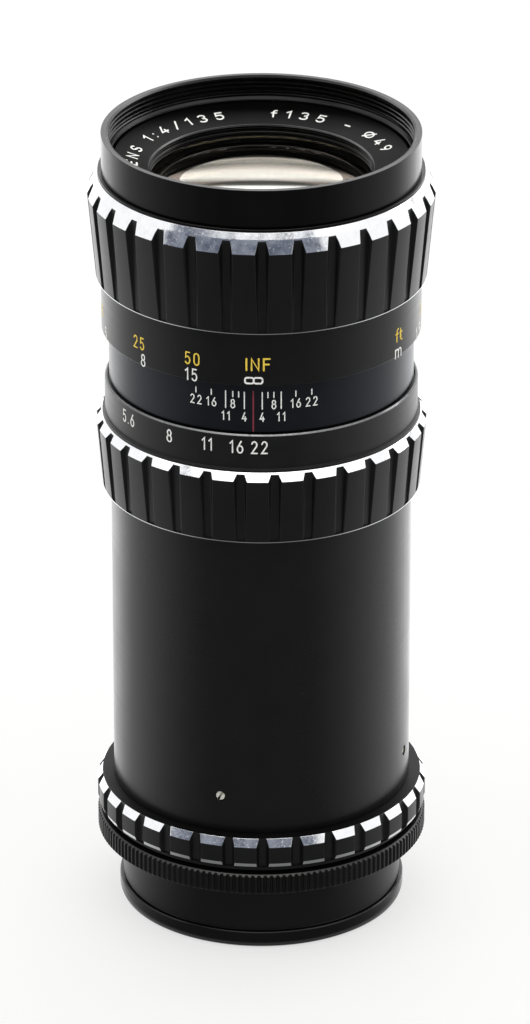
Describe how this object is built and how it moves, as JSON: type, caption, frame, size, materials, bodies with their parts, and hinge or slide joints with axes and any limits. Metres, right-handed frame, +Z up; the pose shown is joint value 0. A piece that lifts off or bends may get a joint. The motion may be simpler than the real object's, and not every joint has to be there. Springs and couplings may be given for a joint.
{
  "type": "telephoto camera lens",
  "caption": "Black telephoto lens with zebra grip rings, engraved focus and aperture scales, a working iris, and a screw-on rear cap that it stands on.",
  "frame": {"origin": "centre of the rear cap's base, which the lens stands on", "axes": "+Z up along the optical axis towards the front glass, -Y towards the red index line"},
  "size_m": [0.0556, 0.0556, 0.1341],
  "materials": {
    "black_anodised": "black anodised, semi-gloss",
    "blue_black": "black anodised, satin, a little blue",
    "matt_black": "matt black",
    "cap_black": "moulded, satin to gloss",
    "polished_chrome": "diamond-turned, bright",
    "bright_steel": "turned steel",
    "helicoid_brass": "turned brass, greased",
    "coated_glass": "single-coated optical glass",
    "white_fill": "white paint in engraving",
    "yellow_fill": "yellow paint in engraving",
    "red_fill": "red paint in engraving"
  },
  "bodies": {
    "barrel": {"main_barrel": "black_anodised", "index_barrel": "blue_black", "fixed_helicoid": "helicoid_brass", "mount_ring": "polished_chrome", "rear_grip_ring": "matt_black", "rear_baffle": "matt_black", "guide_key": "helicoid_brass", "guide_key_screw": "bright_steel", "tube_screw_1": "bright_steel", "tube_screw_2": "bright_steel", "tube_screw_3": "bright_steel", "tube_screw_4": "bright_steel", "helicoid_screw_1": "bright_steel", "helicoid_screw_2": "bright_steel", "helicoid_screw_3": "bright_steel", "click_ball": "bright_steel", "click_spring": "bright_steel"},
    "rear_cap": {"rear_cap": "cap_black"},
    "head": {"filter_rim": "black_anodised", "rim_collar": "black_anodised", "name_ring": "matt_black", "front_retaining_ring": "matt_black", "head_sleeve": "helicoid_brass", "thrust_ring": "helicoid_brass", "optics_barrel": "matt_black", "head_screw_1": "bright_steel", "head_screw_2": "bright_steel", "head_screw_3": "bright_steel", "front_element": "coated_glass", "lens_spacer": "matt_black", "doublet_front": "coated_glass", "doublet_rear": "coated_glass", "iris_housing": "matt_black", "rear_cell": "matt_black", "rear_element": "coated_glass", "rear_retaining_ring": "matt_black"},
    "focus_ring": {"focus_grip": "black_anodised", "focus_scale_ring": "black_anodised", "focus_helicoid": "helicoid_brass"},
    "aperture_ring": {"aperture_grip": "black_anodised", "aperture_scale_ring": "black_anodised", "aperture_bridge": "helicoid_brass", "iris_fork": "helicoid_brass", "aperture_drive_screw": "bright_steel"},
    "iris_cam": {"iris_cam_ring": "helicoid_brass", "iris_drive_pin": "bright_steel"},
    "blade_1": {"iris_blade_1": "bright_steel"},
    "blade_2": {"iris_blade_2": "bright_steel"},
    "blade_3": {"iris_blade_3": "bright_steel"},
    "blade_4": {"iris_blade_4": "bright_steel"},
    "blade_5": {"iris_blade_5": "bright_steel"},
    "blade_6": {"iris_blade_6": "bright_steel"},
    "blade_7": {"iris_blade_7": "bright_steel"},
    "blade_8": {"iris_blade_8": "bright_steel"}
  },
  "joints": [
    {"name": "head_slide", "type": "slide", "parent": "barrel", "child": "head", "axis": [0, 0, 1], "range_m": [0, 0.0148]},
    {"name": "focus_turn", "type": "hinge", "parent": "head", "child": "focus_ring", "pos_m": [0, 0, 0.115], "axis": [0, 0, 1], "range_deg": [0, 280]},
    {"name": "aperture_turn", "type": "hinge", "parent": "barrel", "child": "aperture_ring", "pos_m": [0, 0, 0.083], "axis": [0, 0, 1], "range_deg": [-2.3, 87]},
    {"name": "iris_turn", "type": "hinge", "parent": "head", "child": "iris_cam", "pos_m": [0, 0, 0.094], "axis": [0, 0, 1], "range_deg": [-2.3, 87]},
    {"name": "blade_1_swing", "type": "hinge", "parent": "head", "child": "blade_1", "pos_m": [0, -0.015, 0.09], "axis": [0, 0, 1], "range_deg": [-0.85, 31.55]},
    {"name": "blade_2_swing", "type": "hinge", "parent": "head", "child": "blade_2", "pos_m": [0.01061, -0.01061, 0.0903], "axis": [0, 0, 1], "range_deg": [-0.85, 31.55]},
    {"name": "blade_3_swing", "type": "hinge", "parent": "head", "child": "blade_3", "pos_m": [0.015, 0, 0.0906], "axis": [0, 0, 1], "range_deg": [-0.85, 31.55]},
    {"name": "blade_4_swing", "type": "hinge", "parent": "head", "child": "blade_4", "pos_m": [0.01061, 0.01061, 0.0909], "axis": [0, 0, 1], "range_deg": [-0.85, 31.55]},
    {"name": "blade_5_swing", "type": "hinge", "parent": "head", "child": "blade_5", "pos_m": [0, 0.015, 0.0912], "axis": [0, 0, 1], "range_deg": [-0.85, 31.55]},
    {"name": "blade_6_swing", "type": "hinge", "parent": "head", "child": "blade_6", "pos_m": [-0.01061, 0.01061, 0.0915], "axis": [0, 0, 1], "range_deg": [-0.85, 31.55]},
    {"name": "blade_7_swing", "type": "hinge", "parent": "head", "child": "blade_7", "pos_m": [-0.015, 0, 0.0918], "axis": [0, 0, 1], "range_deg": [-0.85, 31.55]},
    {"name": "blade_8_swing", "type": "hinge", "parent": "head", "child": "blade_8", "pos_m": [-0.01061, -0.01061, 0.0921], "axis": [0, 0, 1], "range_deg": [-0.85, 31.55]},
    {"name": "cap_pull", "type": "slide", "parent": "barrel", "child": "rear_cap", "axis": [0, 0, -1], "range_m": [0, 0.025]}
  ],
  "couplings": [
    {"joint": "head_slide", "follows": "focus_turn", "m_per_rad": 0.003028},
    {"joint": "iris_turn", "follows": "aperture_turn", "ratio": 1},
    {"joint": "blade_1_swing", "follows": "aperture_turn", "ratio": 0.36194},
    {"joint": "blade_2_swing", "follows": "aperture_turn", "ratio": 0.36194},
    {"joint": "blade_3_swing", "follows": "aperture_turn", "ratio": 0.36194},
    {"joint": "blade_4_swing", "follows": "aperture_turn", "ratio": 0.36194},
    {"joint": "blade_5_swing", "follows": "aperture_turn", "ratio": 0.36194},
    {"joint": "blade_6_swing", "follows": "aperture_turn", "ratio": 0.36194},
    {"joint": "blade_7_swing", "follows": "aperture_turn", "ratio": 0.36194},
    {"joint": "blade_8_swing", "follows": "aperture_turn", "ratio": 0.36194}
  ]
}
